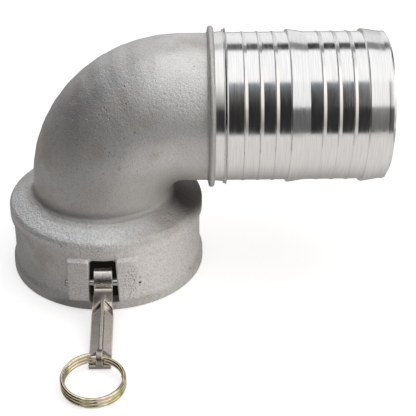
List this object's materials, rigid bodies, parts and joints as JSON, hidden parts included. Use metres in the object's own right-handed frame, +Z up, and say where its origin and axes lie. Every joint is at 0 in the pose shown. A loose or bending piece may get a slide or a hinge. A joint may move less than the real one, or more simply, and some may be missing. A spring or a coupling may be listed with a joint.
{
  "type": "camlock coupling",
  "caption": "Female cam-and-groove coupler on a 90 degree cast elbow with a barbed hose shank, cam arms and pull rings.",
  "frame": {"origin": "centre of the coupler's mouth, on the plane of the rim that it stands on", "axes": "+Z up out of the mouth's roof and along the bore, +X along the hose shank, cam arms towards -Y (front) and +Y (rear)"},
  "size_m": [0.2645, 0.3428, 0.1774],
  "materials": {
    "cast_aluminium": "as cast, shot blasted, fine grain",
    "turned_aluminium": "bright turned",
    "cast_stainless": "investment cast, tumbled satin",
    "pin_steel": "bright drawn",
    "zinc_yellow": "yellow zinc plated wire",
    "rubber": "moulded black rubber"
  },
  "bodies": {
    "coupling_body": {"elbow_body": "cast_aluminium", "hose_shank": "turned_aluminium", "gasket": "rubber", "pivot_pin_front": "pin_steel", "pivot_pin_rear": "pin_steel"},
    "front_arm": {"cam_arm_front": "cast_stainless"},
    "rear_arm": {"cam_arm_rear": "cast_stainless"},
    "front_ring": {"pull_ring_front": "zinc_yellow"},
    "rear_ring": {"pull_ring_rear": "zinc_yellow"}
  },
  "joints": [
    {"name": "front_arm_hinge", "type": "hinge", "parent": "coupling_body", "child": "front_arm", "pos_m": [0, -0.0654, 0.0215], "axis": [-1, 0, 0], "range_deg": [-35, 93]},
    {"name": "rear_arm_hinge", "type": "hinge", "parent": "coupling_body", "child": "rear_arm", "pos_m": [0, 0.0654, 0.0215], "axis": [1, 0, 0], "range_deg": [-35, 93]},
    {"name": "front_ring_hinge", "type": "hinge", "parent": "front_arm", "child": "front_ring", "pos_m": [0, -0.12979, 0.00717], "axis": [-1, 0, 0], "range_deg": [-4, 30]},
    {"name": "rear_ring_hinge", "type": "hinge", "parent": "rear_arm", "child": "rear_ring", "pos_m": [0, 0.12979, 0.00717], "axis": [1, 0, 0], "range_deg": [-4, 30]}
  ]
}
